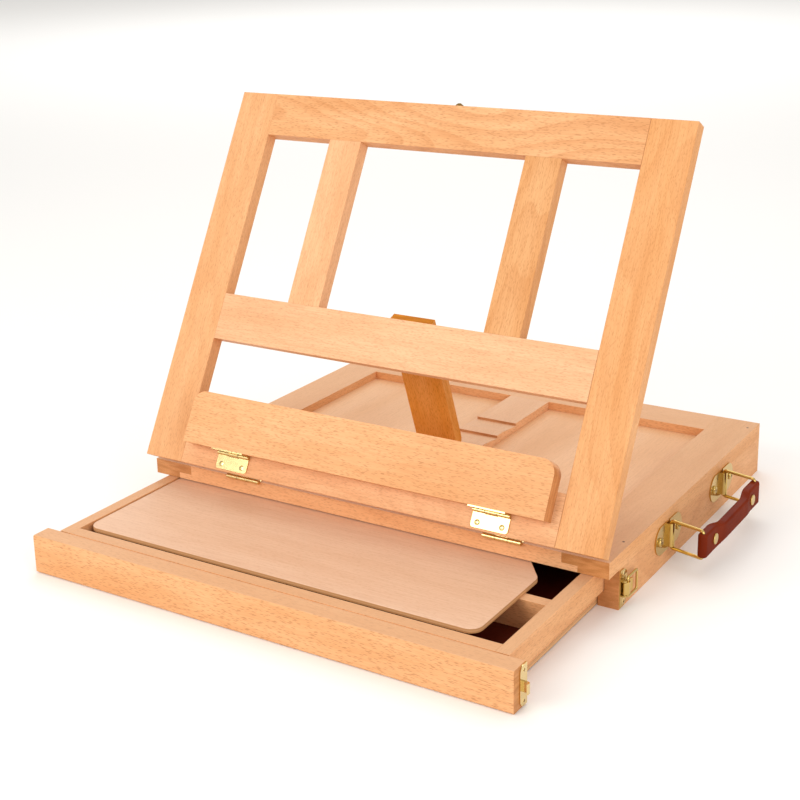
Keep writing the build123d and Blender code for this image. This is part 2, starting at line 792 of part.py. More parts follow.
# Canvas ledge and its two hinges, drawn lying on the closed frame
ledge_y0 = ledge_axis_y + ledge_hinge_radius + 0.05
ledge_half = ledge_length / 2
ledge_y1 = ledge_y0 + ledge_bar_width
ledge_bar = block(-ledge_half, ledge_half, ledge_y0, ledge_y1, lid_top + 0.05, lid_top + ledge_bar_thick)
upper_corners = ledge_bar.edges().filter_by(Axis.Z).group_by(Axis.Y)[-1]
ledge_bar = fillet(upper_corners, ledge_corner)
ledge_panel_leaves = []
ledge_bar_leaves = []
ledge_pins = []
ledge_panel_screws = []
ledge_bar_screws = []
for centre in ledge_hinge_centres:
    place = Pos(centre, ledge_axis_y, ledge_axis_z)
    offset = ledge_axis_z - lid_top
    leaf_a = hinge_leaf(
        ledge_hinge_length, ledge_hinge_radius, ledge_hinge_leaf, offset - ledge_leaf_thick, offset, (0, 2), 180
    )
    leaf_a = place * leaf_a
    corners = leaf_a.edges().filter_by(Axis.Z).group_by(Axis.Y)[0]
    leaf_a = fillet(corners, 1.8)
    reach = ledge_y0 - ledge_axis_y
    leaf_b = place * hinge_leaf(
        ledge_hinge_length, ledge_hinge_radius, ledge_hinge_rise, -reach, ledge_leaf_thick - reach, (1,), 90
    )
    screw_xs = [centre + side * ledge_hinge_length / 3 for side in (-1, 1)]
    spots_a = [(x, ledge_axis_y - ledge_hinge_leaf + 3.2, lid_top + ledge_leaf_thick) for x in screw_xs]
    spots_b = [(x, ledge_y0 - ledge_leaf_thick, ledge_axis_z + ledge_hinge_rise - 3.2) for x in screw_xs]
    leaf_a, screws = fit_screws(leaf_a, spots_a, (0, 0, 1), screw_dome)
    ledge_panel_screws += screws
    leaf_b, screws = fit_screws(leaf_b, spots_b, (0, -1, 0))
    ledge_bar_screws += screws
    rail = frame_rails["panel_bottom_rail"]
    frame_rails["panel_bottom_rail"] = cut_holes(rail, spots_a, (0, 0, 1), screw_dome)
    ledge_bar = cut_holes(ledge_bar, spots_b, (0, -1, 0))
    ledge_panel_leaves.append(leaf_a)
    ledge_bar_leaves.append(leaf_b)
    ledge_pins.append(place * hinge_pin(ledge_hinge_length))


# Prop
def prop_reach(depth):
    """How far along the prop a point at this depth may lie and clear the deck as the lid closes"""
    reach = box_depth
    reach_y = prop_axis_y - lid_axis_y
    reach_z = prop_axis_z - lid_axis_z
    ratio = prop_turn / lid_angle
    for step in range(1, 201):
        lid = math.radians(lid_angle * step / 200)
        prop = ratio * lid - math.radians(prop_fold_in) - lid
        if prop > 0.05:
            height = lid_axis_z + reach_y * math.sin(lid) + reach_z * math.cos(lid) - deck_top
            heel = (prop_pivot_drop + depth) * math.cos(prop)
            reach = min(reach, (height + heel - foot_clearance) / math.sin(prop))
    return reach


def prop_board():
    """The prop, drawn level and straight back from its pivot, with a narrowed foot bevelled at its heel"""
    half = prop_width / 2
    root = prop_axis_y + prop_root_gap
    heel = prop_axis_y + prop_reach(0)
    foot = prop_axis_y + prop_reach(foot_bevel)
    taper = foot - prop_taper_length
    narrow = half - prop_taper_side
    outline = [
        (prop_centre - half, root),
        (prop_centre + half, root),
        (prop_centre + half, taper),
        (prop_centre + half - 1.2, taper + 5),
        (prop_centre + narrow, foot),
        (prop_centre - narrow, foot),
        (prop_centre - half + 1.2, taper + 5),
        (prop_centre - half, taper),
    ]
    board = Pos(0, 0, lid_z) * extrude(make_face(Polyline(*outline, close=True)), prop_thick)
    beyond = foot + 1
    bevel_z = lid_z + foot_bevel
    side = [(heel, lid_z - 1), (heel, lid_z), (foot, bevel_z), (beyond, bevel_z), (beyond, lid_z - 1)]
    bevel = extrude(Plane.YZ * make_face(Polyline(*side, close=True)), prop_width, both=True, dir=(1, 0, 0))
    board -= bevel
    return board - rod(prop_hinge_radius + knuckle_gap, prop_hinge_length, prop_axis, (1, 0, 0))


prop_axis = (prop_centre, prop_axis_y, prop_axis_z)
prop_place = Pos(*prop_axis)
leaf_low = prop_pivot_drop - prop_leaf_thick
prop_panel_leaf = prop_place * hinge_leaf(
    prop_hinge_length, prop_hinge_radius, prop_hinge_leaf, -prop_pivot_drop, -leaf_low, (0, 2), 180
)
prop_leg_leaf = prop_place * hinge_leaf(
    prop_hinge_length, prop_hinge_radius, prop_hinge_leaf, leaf_low, prop_pivot_drop, (1,), 0
)
prop_screw_z = lid_z - prop_leaf_thick
prop_screw_xs = [prop_centre + side * prop_hinge_length / 3 for side in (-1, 1)]
panel_leaf_spots = [(x, prop_axis_y - prop_hinge_leaf + 4, prop_screw_z) for x in prop_screw_xs]
leg_leaf_spots = [(x, prop_axis_y + prop_hinge_leaf - 4, prop_screw_z) for x in prop_screw_xs]
prop_panel_leaf, prop_panel_screws = fit_screws(prop_panel_leaf, panel_leaf_spots, (0, 0, -1))
prop_leg_leaf, prop_leg_screws = fit_screws(prop_leg_leaf, leg_leaf_spots, (0, 0, -1))
knuckle_seat = rod(prop_hinge_radius + knuckle_gap, prop_hinge_length, prop_axis, (1, 0, 0))
middle_rail = frame_rails["panel_middle_rail"] - knuckle_seat
frame_rails["panel_middle_rail"] = cut_holes(middle_rail, panel_leaf_spots, (0, 0, -1))
prop_leg = cut_holes(prop_board(), leg_leaf_spots, (0, 0, -1))

# Box
nodes["deck_left_rail"] = [deck_left]
nodes["deck_right_rail"] = [deck_right]
nodes["deck_front_rail"] = [deck_front]
nodes["deck_back_rail"] = [deck_back]
nodes["ratchet_rail"] = [ratchet_rail()]
nodes["deck_left_floor"] = [deck_floor(-1)]
nodes["deck_right_floor"] = [deck_floor(1)]
nodes["left_wall"] = [left_wall]
nodes["right_wall"] = [right_wall]
nodes["back_wall"] = [back_wall]
nodes["deck_nails"] = nails
nodes["lid_hinge_deck_leaves"] = deck_leaves
nodes["lid_hinge_pins"] = lid_pins
nodes["box_screws"] = deck_leaf_screws + base_screws
nodes["latch_base"] = [base_plate]
nodes["latch_pin"] = [latch_place * latch_pin()]
nodes["handle_front_bracket"] = [brackets[0]]
nodes["handle_rear_bracket"] = [brackets[1]]
nodes["handle_screws"] = handle_screws

# Latch and handle
nodes["latch_lever"] = [latch_place * latch_lever()]
nodes["latch_loop"] = [latch_place * latch_loop()]
nodes["handle_front_loop"] = [handle_loop(bracket_ys[0])]
nodes["handle_rear_loop"] = [handle_loop(bracket_ys[1])]
nodes["handle_grip"] = [grip]
nodes["handle_rivets"] = grip_rivets

# Drawer
drawer_parts = {
    "drawer_front": [drawer_front],
    "drawer_inner_front": [drawer_cross(drawer_start, drawer_end_wall, drawer_high)],
    "drawer_left_side": [drawer_side(-1)],
    "drawer_right_side": [drawer_side(1)],
    "drawer_back": [drawer_cross(drawer_end - drawer_end_wall, drawer_end_wall, drawer_high)],
    "drawer_bottom": [drawer_bottom],
    "drawer_front_divider": [drawer_cross(front_y + front_divider_at, divider_thick, divider_top)],
    "drawer_rear_divider": [drawer_cross(rear_divider_y, divider_thick, divider_top)],
    "palette": [palette_board()],
    "strike_plate": [strike],
    "strike_screws": strike_screws,
}
for name, solids in drawer_parts.items():
    nodes[name] = [pull_drawer(solid) for solid in solids]

# Drawing frame and canvas ledge
frame_parts = {
    "panel_left_stile": [left_stile],
    "panel_right_stile": [right_stile],
    "panel_left_muntin": [muntins[0]],
    "panel_right_muntin": [muntins[1]],
    "lid_hinge_panel_leaves": lid_leaves,
    "panel_screws": lid_leaf_screws + ledge_panel_screws + prop_panel_screws,
    "ledge_hinge_panel_leaves": ledge_panel_leaves,
    "ledge_hinge_pins": ledge_pins,
    "prop_hinge_panel_leaf": [prop_panel_leaf],
    "prop_hinge_pin": [prop_place * hinge_pin(prop_hinge_length)],
    "lid_catch_stud": [stud],
    "ledge_bar": [ledge_bar],
    "ledge_hinge_bar_leaves": ledge_bar_leaves,
    "ledge_bar_screws": ledge_bar_screws,
}
frame_parts.update({name: [rail] for name, rail in frame_rails.items()})
for name, solids in frame_parts.items():
    nodes[name] = [open_lid(solid) for solid in solids]

# Prop
prop_parts = {
    "prop_leg": [prop_leg],
    "prop_hinge_leg_leaf": [prop_leg_leaf],
    "prop_screws": prop_leg_screws,
}
for name, solids in prop_parts.items():
    nodes[name] = [swing_prop(solid) for solid in solids]

for name, solids in nodes.items():
    shape = solids[0] if len(solids) == 1 else Compound(children=solids)
    export_step(shape, f"parts/{name}.step")

print("nodes", len(nodes), "prop length", round(prop_reach(foot_bevel), 2))
print("prop ratio", round(-prop_turn / lid_angle, 5))
closed_axes = {
    "lid": (0, lid_axis_y, lid_axis_z),
    "ledge": (0, ledge_axis_y, ledge_axis_z),
    "prop": prop_axis,
}
for label, point in closed_axes.items():
    print(label, "axis when closed", [round(value, 3) for value in point])
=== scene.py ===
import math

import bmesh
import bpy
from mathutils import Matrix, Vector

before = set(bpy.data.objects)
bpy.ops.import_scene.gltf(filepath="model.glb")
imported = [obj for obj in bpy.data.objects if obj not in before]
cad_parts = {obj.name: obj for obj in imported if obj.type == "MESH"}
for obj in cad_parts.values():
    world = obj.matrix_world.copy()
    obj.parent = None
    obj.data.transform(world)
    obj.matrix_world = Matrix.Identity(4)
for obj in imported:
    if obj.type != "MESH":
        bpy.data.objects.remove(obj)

# %% [markdown]
# # A tabletop box easel in beech
#
# A box easel is a shallow case for paints. Its lid leans back on a prop and carries the canvas, its
# drawer holds the paints under a palette, and a handle and a draw latch sit on one side.
#
# The CAD model already gives every board, hinge and screw its shape and its place, so this scene
# only dresses it. No piece is moved or changed. Each one gets a material, the boards get softened
# edges, and the scene adds a floor, lamps and a camera.
#
# The plan:
# 1. an update after loading, then helpers for colours and shader nodes
# 2. patterns that follow the grain of a board
# 3. beech, plywood, metals and the moulded grip
# 4. materials and softened edges on the CAD pieces
# 5. floor, light and camera, then colour management

MM = 0.001
print("Blender works in metres, so a millimetre is", MM)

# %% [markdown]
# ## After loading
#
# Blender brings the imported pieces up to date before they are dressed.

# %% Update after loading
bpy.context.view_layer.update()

# %% [markdown]
# ## Helpers for colours and nodes
#
# Colours are written as the hex codes that a picture editor shows. A shader works in linear light,
# where twice the number is twice the light, so one function converts them.

# %% Colours


def to_linear(code):
    """A hex colour as linear red, green, blue and alpha"""
    out = []
    for start in (0, 2, 4):
        value = int(code[start:start + 2], 16) / 255
        out.append(value / 12.92 if value <= 0.04045 else ((value + 0.055) / 1.055) ** 2.4)
    return (*out, 1.0)


print("Mid grey 808080 is", round(to_linear("808080")[0], 3), "in linear light")

# %% [markdown]
# Shader nodes could be made one at a time, with a line for every setting and every link. One small
# function does all three, which keeps the shaders further down short enough to read.
#
# A material's finish is the part of it that is the same all over, such as how metallic it is. These
# numbers go straight onto the surface shader. Only what varies over the surface comes from nodes.

# %% Nodes and materials


def add(tree, kind, inputs=None, **settings):
    """One shader node, with its settings, its constants and its links"""
    node = tree.nodes.new(kind)
    for key, value in settings.items():
        setattr(node, key, value)
    for key, value in (inputs or {}).items():
        if isinstance(value, bpy.types.NodeSocket):
            tree.links.new(value, node.inputs[key])
        else:
            node.inputs[key].default_value = value
    return node


def new_material(name, finish):
    """A material with nothing but its surface shader, which gets the constants of its finish"""
    material = bpy.data.materials.new(name)
    material.use_nodes = True
    tree = material.node_tree
    tree.nodes.clear()
    shader = add(tree, "ShaderNodeBsdfPrincipled", finish)
    add(tree, "ShaderNodeOutputMaterial", {"Surface": shader.outputs["BSDF"]})
    return material, tree, shader


print("CAD pieces that wait for a material:", len(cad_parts))

# %% [markdown]
# ## Colours in layers
#
# A natural surface is easiest to match as a stack of thin layers: one main colour, then broad
# patches, then fibres, then dashes. Each layer is a pattern that decides where it shows, the two
# pattern values between which it fades in, how much it covers at most, and its colour. That colour
# may itself be a finished stack, so the ends of a board can lie over its faces as one more layer.

# %% Layers
# Sockets of a Mix node that mixes colours, by number, because its other sockets share their names
COVER, UNDER, OVER, MIXED = 0, 6, 7, 2


def in_layers(tree, colour, layers):
    """A colour with further colours laid over it where their patterns say so"""
    for pattern, nothing_at, full_at, cover, over in layers:
        shown = add(
            tree,
            "ShaderNodeMapRange",
            {"Value": pattern, "From Min": nothing_at, "From Max": full_at, "To Max": cover},
        )
        layer = add(
            tree,
            "ShaderNodeMix",
            {
                COVER: shown.outputs["Result"],
                UNDER: colour,
                OVER: to_linear(over) if isinstance(over, str) else over,
            },
            data_type="RGBA",
        )
        colour = layer.outputs[MIXED]
    return colour


print("A mix of two colours comes out of socket", MIXED)

# %% [markdown]
# ## Patterns that follow the grain
#
# Wood looks like wood because every mark in it is long in one direction. A picture of wood could be
# wrapped round each board, but it would smear on the ends. Noise that fills space does better: each
# face of a board then shows a true section through it, ends and edges too.
#
# Every pattern takes its size in millimetres along, across and through the board.

# %% Stretched noise


def grain_noise(tree, point, size_mm, detail=2.0, rough=0.5):
    """Noise with patches of a given size in millimetres along, across and through a board"""
    cycles = tuple(1 / (size * MM) for size in size_mm)
    stretched = add(tree, "ShaderNodeVectorMath", {0: point, 1: cycles}, operation="MULTIPLY")
    noise = add(
        tree,
        "ShaderNodeTexNoise",
        {"Vector": stretched.outputs["Vector"], "Scale": 1.0, "Detail": detail, "Roughness": rough},
    )
    return noise.outputs["Fac"]


print("Noise with patches of 1 mm has", round(1 / MM), "cycles to the metre")

# %% [markdown]
# The lines of a sawn board are the growth rings, cut at a slant. They are close to contour lines on
# a map, so they are drawn in the same way: a slow noise is the height, and a line runs wherever the
# height passes a whole step. Each line starts softly and stops sharply, as slow summer wood does
# where the next spring begins.

# %% Growth rings
RING_WAVE_MM = (290.0, 59.0, 59.0)
RING_STEPS = 15.0
SOFT_START, SHARP_STOP = 0.35, 0.94


def growth_rings(tree, point):
    """Contour lines of a slow noise, soft on one side and sharp on the other"""
    slow = grain_noise(tree, point, RING_WAVE_MM, 1.5, 0.45)
    steps = add(tree, "ShaderNodeMath", {0: slow, 1: RING_STEPS}, operation="MULTIPLY")
    step = add(tree, "ShaderNodeMath", {0: steps.outputs["Value"]}, operation="FRACT")
    ring = step.outputs["Value"]
    rise = add(tree, "ShaderNodeMapRange", {"Value": ring, "From Min": SOFT_START, "From Max": SHARP_STOP})
    fall = add(tree, "ShaderNodeMapRange", {"Value": ring, "From Min": 1.0, "From Max": SHARP_STOP})
    line = add(
        tree,
        "ShaderNodeMath",
        {0: rise.outputs["Result"], 1: fall.outputs["Result"]},
        operation="MULTIPLY",
    )
    return line.outputs["Value"]


print("Growth rings are contours of a noise", RING_WAVE_MM[0], "mm long and", RING_WAVE_MM[1], "mm wide")

# %% [markdown]
# Beech is easy to recognise by its rays: short dark dashes, a few millimetres long and about half a
# millimetre wide. A cell pattern gives them. It measures how far a point is from the middle of its
# cell, and stretched cells with a small dark core make scattered dashes.

# %% Rays
# Distances from the middle of a cell, in cells, at which a dash begins to show and is fully dark
DASH_EDGE, DASH_CORE = 0.36, 0.22


def ray_dashes(tree, point, long_mm, thin_mm):
    """How far a point is from the middle of the nearest dash, with one dash to a cell"""
    cycles = (1 / (long_mm * MM), 1 / (thin_mm * MM), 1 / (thin_mm * MM))
    cells = add(tree, "ShaderNodeVectorMath", {0: point, 1: cycles}, operation="MULTIPLY")
    nearest = add(tree, "ShaderNodeTexVoronoi", {"Vector": cells.outputs["Vector"], "Scale": 1.0})
    return nearest.outputs["Distance"]


print("A dash is up to", 2 * DASH_EDGE, "of its cell long")

# %% [markdown]
# ## Beech under clear lacquer
#
# The boards are planed beech with a thin matt lacquer. Planed faces show everything at once: broad
# patches, fibres, growth rings and rays. Upper faces get a painted shade, duller and less orange than
# the others, for the weaker light that falls on them.

# %% Planed faces
# Real fibres are about 0.02 mm wide, too fine to show, so they are drawn almost 1 mm wide
FIBRE_MM = (18.0, 0.87, 0.87)
PATCH_MM = (110.0, 17.0, 17.0)
RAY_MM = (4.2, 0.55)


def planed_faces(tree, point, fibres, painted_top_shade, fleck, figure):
    """The colour of planed beech, with rays of a given coarseness and rings of a given strength"""
    patches = grain_noise(tree, point, PATCH_MM)
    rings = growth_rings(tree, point)
    dashes = ray_dashes(tree, point, RAY_MM[0] * fleck, RAY_MM[1] * fleck)
    layers = (
        # pattern, begins at, full at, covers at most, colour
        (patches, 0.30, 0.70, 1.0, "E2A570"),
        (fibres, 0.42, 0.75, 0.42, "C58553"),
        (rings, 0.0, 1.0, figure, "C67F49"),
        (dashes, DASH_EDGE, DASH_CORE, 0.48 * fleck, "A96B3E"),
        # Painted shade on upper faces: duller and less orange, for the weaker light that falls on them
        (painted_top_shade, 0.80, 0.95, 0.60, "D7AC87"),
    )
    return in_layers(tree, to_linear("EDB684"), layers)


print("Fibres are", FIBRE_MM[1], "mm wide, and cells for rays", RAY_MM[0], "by", RAY_MM[1], "mm")

# %% [markdown]
# The ends of a board are darker than its faces, because cut fibres drink the lacquer. They show the
# growth rings in section, as bands, and the open pores as dots.

# %% Cut ends
# End grain doesn't change along a board, so its patterns are a metre long
SECTION_MM = (1000.0, 11.0, 2.4)
PORE_MM = (1000.0, 0.38, 0.38)


def cut_ends(tree, point):
    """The colour of a board's ends"""
    section = grain_noise(tree, point, SECTION_MM)
    pores = grain_noise(tree, point, PORE_MM, 1.0)
    layers = (
        # pattern, begins at, full at, covers at most, colour
        (section, 0.35, 0.65, 1.0, "BC7E4C"),
        (pores, 0.45, 0.70, 0.4, "9C6236"),
    )
    return in_layers(tree, to_linear("D2945F"), layers)


print("Pores are", PORE_MM[1], "mm wide, and bands", SECTION_MM[2], "mm thick")

# %% [markdown]
# One material for all boards would run the same grain through every joint. So each board has its
# own: the grain is turned to run along it, and the wood is shifted, so that no two boards show the
# same figure.
#
# Planing leaves the figure clear, and the matt lacquer gives only a weak, wide shine. So the surface
# is fairly rough and has a very thin coat, and the fibres stand up by a few hundredths of a
# millimetre.

# %% Beech
LACQUER = {"Specular IOR Level": 0.12, "Coat Weight": 0.03, "Coat Roughness": 0.35}
GLOSSIEST, MATTEST = 0.42, 0.56
# How nearly a face looks along the grain where it begins to count as an end, and where it fully does
END_FROM, END_FULL = 0.75, 0.90
FIBRE_HEIGHT_MM = 0.06
FIBRE_RELIEF = 0.25


def beech(name, grain_turn, shift, tone, fleck, figure, warmth):
    """Beech for one board. The turn, in degrees, brings its grain onto the first axis"""
    material, tree, shader = new_material(name, LACQUER)
    place = add(tree, "ShaderNodeTexCoord")
    turn = tuple(math.radians(angle) for angle in grain_turn)
    board = add(
        tree,
        "ShaderNodeMapping",
        {"Vector": place.outputs["Object"], "Location": shift, "Rotation": turn},
    )
    point = board.outputs["Vector"]
    fibres = grain_noise(tree, point, FIBRE_MM, 3.0, 0.6)
    facing = add(tree, "ShaderNodeSeparateXYZ", {"Vector": place.outputs["Normal"]})
    # How far a face looks up decides where the painted shade of upper faces lies
    planed = planed_faces(tree, point, fibres, facing.outputs["Z"], fleck, figure)

    # The direction that a face looks in is turned like the wood, so its first part is along the grain
    turned = add(
        tree,
        "ShaderNodeMapping",
        {"Vector": place.outputs["Normal"], "Rotation": turn},
        vector_type="NORMAL",
    )
    split = add(tree, "ShaderNodeSeparateXYZ", {"Vector": turned.outputs["Vector"]})
    along = add(tree, "ShaderNodeMath", {0: split.outputs["X"]}, operation="ABSOLUTE")
    ends = (along.outputs["Value"], END_FROM, END_FULL, 1.0, cut_ends(tree, point))
    wood = in_layers(tree, planed, (ends,))

    # Each board is a little darker or warmer than its neighbour, partly by its own tone and partly by
    # painted light and shade
    shade = add(
        tree,
        "ShaderNodeHueSaturation",
        {"Color": wood, "Saturation": warmth, "Value": 1.0 - tone},
    )
    tree.links.new(shade.outputs["Color"], shader.inputs["Base Color"])

    # The lacquer is a little glossier between the fibres than on them
    gloss = add(tree, "ShaderNodeMapRange", {"Value": fibres, "To Min": GLOSSIEST, "To Max": MATTEST})
    tree.links.new(gloss.outputs["Result"], shader.inputs["Roughness"])
    bump = add(
        tree,
        "ShaderNodeBump",
        {"Height": fibres, "Strength": FIBRE_RELIEF, "Distance": FIBRE_HEIGHT_MM * MM},
    )
    tree.links.new(bump.outputs["Normal"], shader.inputs["Normal"])
    return material


print("The roughness of lacquered beech runs from", GLOSSIEST, "to", MATTEST)

# %% [markdown]
# ## Plywood
#
# The two floors of the deck, the palette and the bottom of the drawer are thin plywood. Its edges
# show the plies as stripes. Solid noise can't give plies, so a wave along the height makes them.

# %% Plywood edges
PLY_MM = 1.0


def ply_stripes(tree, place, codes):
    """The colour of a sheet's edge, with a stripe for each ply"""
    # A wave is at its top once for every two plies
    height = add(tree, "ShaderNodeSeparateXYZ", {"Vector": place.outputs["Object"]})
    angle = add(
        tree,
        "ShaderNodeMath",
        {0: height.outputs["Z"], 1: math.pi / (PLY_MM * MM)},
        operation="MULTIPLY",
    )
    wave = add(tree, "ShaderNodeMath", {0: angle.outputs["Value"]}, operation="SINE")
    return in_layers(tree, to_linear(codes[0]), ((wave.outputs["Value"], -0.6, 0.6, 1.0, codes[1]),))


print("Plies are", PLY_MM, "mm thick")

# %% [markdown]
# The face of plywood is one peeled sheet. It is plainer and a little pinker than solid beech, and
# no growth rings stand out on it, so its layers are patches, fibres and faint rays.

# %% Plywood faces
PEELED_FIBRE_MM = (22.0, 0.71, 0.71)
PEELED_PATCH_MM = (250.0, 38.0, 38.0)
# The rays are faint here, so they are drawn more than twice as wide as on the boards
PEELED_RAY_MM = (4.0, 1.3)


def peeled_face(tree, point, fibres, codes):
    """The colour of a sheet's face"""
    patches = grain_noise(tree, point, PEELED_PATCH_MM)
    dashes = ray_dashes(tree, point, *PEELED_RAY_MM)
    layers = (
        # pattern, begins at, full at, covers at most, colour
        (patches, 0.30, 0.70, 1.0, codes[1]),
        (fibres, 0.40, 0.75, 0.28, codes[2]),
        (dashes, DASH_EDGE, DASH_CORE, 0.16, codes[2]),
    )
    return in_layers(tree, to_linear(codes[0]), layers)


print("Fibres on a sheet are", PEELED_FIBRE_MM[1], "mm wide")

# %% [markdown]
# The stripes lie over the face as one more layer, which shows only where the surface faces sideways.
# The sheets look sanded and bare, so they get no coat.

# %% Plywood
SANDED = {"Roughness": 0.5, "Specular IOR Level": 0.3}
# How far a face looks up or down where the stripes begin to show, and where they show fully
EDGE_FROM, EDGE_FULL = 0.5, 0.3
PEELED_HEIGHT_MM = 0.05
PEELED_RELIEF = 0.2


def plywood(name, face_codes, shift, turn, edge_codes):
    """Thin plywood. The turn about the upright axis brings its face grain onto the first axis"""
    material, tree, shader = new_material(name, SANDED)
    place = add(tree, "ShaderNodeTexCoord")
    sheet = add(
        tree,
        "ShaderNodeMapping",
        {"Vector": place.outputs["Object"], "Location": shift, "Rotation": (0, 0, math.radians(turn))},
    )
    point = sheet.outputs["Vector"]
    fibres = grain_noise(tree, point, PEELED_FIBRE_MM, 3.0, 0.6)
    face = peeled_face(tree, point, fibres, face_codes)

    facing = add(tree, "ShaderNodeSeparateXYZ", {"Vector": place.outputs["Normal"]})
    level = add(tree, "ShaderNodeMath", {0: facing.outputs["Z"]}, operation="ABSOLUTE")
    edges = (level.outputs["Value"], EDGE_FROM, EDGE_FULL, 1.0, ply_stripes(tree, place, edge_codes))
    tree.links.new(in_layers(tree, face, (edges,)), shader.inputs["Base Color"])
    bump = add(
        tree,
        "ShaderNodeBump",
        {"Height": fibres, "Strength": PEELED_RELIEF, "Distance": PEELED_HEIGHT_MM * MM},
    )
    tree.links.new(bump.outputs["Normal"], shader.inputs["Normal"])
    return material


# %% [markdown]
# Each sheet has three colours for its face: the main one, that of the patches, and that of the
# fibres and rays. Two more are for the stripes on its edges. The shift gives each material wood of
# its own, and the turn sets the way that its grain runs. The drawer's bottom gets a dark red brown
# face, which is painted shade for the dim inside of the drawer, while its edges keep the pale plies.

# %% The sheets
floor_face = ("E8BB90", "DDA878", "B37E58")
palette_face = ("E3BEA1", "D8AE8E", "B37E58")
# Painted shade: the drawer bottom's face is dark red brown for the dim inside of the drawer
painted_shade_face = ("661C08", "4C1004", "3C0C04")
pale_edge = ("D6A878", "C69462")
floor_ply = plywood("Sanded plywood, deck floors", floor_face, (0.3, 0.1, 0), -90, pale_edge)
palette_ply = plywood("Sanded plywood, palette", palette_face, (0.9, 0.4, 0), 0, pale_edge)
# The drawer bottom's dark face is painted shade for the dim inside of the drawer
bottom_ply = plywood("Plywood with painted shade, drawer bottom", painted_shade_face, (1.7, 0.8, 0), -90, pale_edge)
print("Plywood:", ", ".join(item.name for item in (floor_ply, palette_ply, bottom_ply)))

# %% [markdown]
# ## Brass plated steel
#
# Hinges, brackets, latch and screws are pressed from thin steel and plated with brass. The plating
# is bright and slightly greenish, and pressing leaves it a little uneven. A perfect metal would
# mirror the pale studio as one flat tone, so a soft noise a few millimetres across varies the
# roughness and bends the surface very slightly.
#
# The handle and the latch are a shade deeper than the other brass. The nails and the catch on the
# lid have darkened.

# %% Metals
UNEVEN_MM = (3.8, 3.8, 3.8)
DENT_MM = 0.2
DENT_RELIEF = 0.08


def metal(name, code, rough, spread=0.08):
    """A metal whose roughness wanders by a given spread"""
    material, tree, shader = new_material(name, {"Base Color": to_linear(code), "Metallic": 1.0})
    place = add(tree, "ShaderNodeTexCoord")
    uneven = grain_noise(tree, place.outputs["Object"], UNEVEN_MM, 3.0, 0.55)
    gloss = add(
        tree,
        "ShaderNodeMapRange",
        {"Value": uneven, "To Min": rough - spread, "To Max": rough + spread},
    )
    tree.links.new(gloss.outputs["Result"], shader.inputs["Roughness"])
    bump = add(
        tree,
        "ShaderNodeBump",
        {"Height": uneven, "Strength": DENT_RELIEF, "Distance": DENT_MM * MM},
    )
    tree.links.new(bump.outputs["Normal"], shader.inputs["Normal"])
    return material


brass = metal("Brass plated pressed steel, hinges", "E2CA90", 0.2, 0.05)
side_brass = metal("Brass plated pressed steel, side fittings", "D0B26C", 0.17, 0.05)
aged_brass = metal("Tarnished brass, lid catch", "7A5E35", 0.38)
nail_steel = metal("Darkened steel, nail heads", "5A4434", 0.5)
print("Metals:", ", ".join(item.name for item in (brass, side_brass, aged_brass, nail_steel)))

# %% [markdown]
# ## The moulded grip
#
# The grip is red brown plastic, moulded with a fine leather grain and polished by hands. Plastic
# seen at a low angle mirrors the pale surroundings, which would wash its deep colour out. So the
# shine comes from a thin clear coat alone, and the colour underneath stays dark.
#
# The leather grain could be carved into the mesh. At less than a millimetre a cell, a bump in the
# shading looks the same and costs no faces.

# %% Grip
POLISHED = {"Roughness": 0.5, "Specular IOR Level": 0.0, "Coat Weight": 0.12, "Coat Roughness": 0.12}
CLOUD_MM = (17.0, 17.0, 17.0)
LEATHER_CELL_MM = 0.9
LEATHER_DEPTH_MM = 0.1
LEATHER_RELIEF = 0.25


def moulded_plastic(name):
    """Red brown plastic with a leather grain under a weak shine"""
    material, tree, shader = new_material(name, POLISHED)
    place = add(tree, "ShaderNodeTexCoord")
    clouds = grain_noise(tree, place.outputs["Object"], CLOUD_MM)
    colour = in_layers(tree, to_linear("5E1A08"), ((clouds, 0.0, 1.0, 1.0, "802E12"),))
    tree.links.new(colour, shader.inputs["Base Color"])
    leather = add(
        tree,
        "ShaderNodeTexVoronoi",
        {"Vector": place.outputs["Object"], "Scale": 1 / (LEATHER_CELL_MM * MM)},
        feature="DISTANCE_TO_EDGE",
    )
    bump = add(
        tree,
        "ShaderNodeBump",
        {
            "Height": leather.outputs["Distance"],
            "Strength": LEATHER_RELIEF,
            "Distance": LEATHER_DEPTH_MM * MM,
        },
    )
    tree.links.new(bump.outputs["Normal"], shader.inputs["Normal"])
    return material


grip_plastic = moulded_plastic("Moulded plastic, red brown")
print("Grip:", grip_plastic.name)

# %% [markdown]
# ## Which way each board runs
#
# The table gives every board the direction of its grain and four small differences from its
# neighbours: how much darker it is, how coarse its dashes are, how strongly the growth rings show,
# and how warm it is. The darkness and warmth are partly each board's own tone and partly painted
# light and shade: the front rail of the deck gets painted light where it sits in shade under the lid,
# the right muntin painted shade where the light falls off towards the upper right, and the prop leg
# a warmer, darker painted shade under the lid. `ACROSS` is for boards that run left to right and
# `DEEP` for those that run front to back. The lid leans at 61 degrees and the prop at 70 degrees
# below level, so their boards have turns of their own.

# %% The boards
LEAN = 61.0
PROP_LEAN = 70.0
ACROSS = (0.0, 0.0, 0.0)
DEEP = (0.0, 0.0, -90.0)
LID_ACROSS = (-LEAN, 0.0, 0.0)
LID_UP = (-LEAN, 0.0, -90.0)
PROP_DOWN = (PROP_LEAN, 0.0, -90.0)

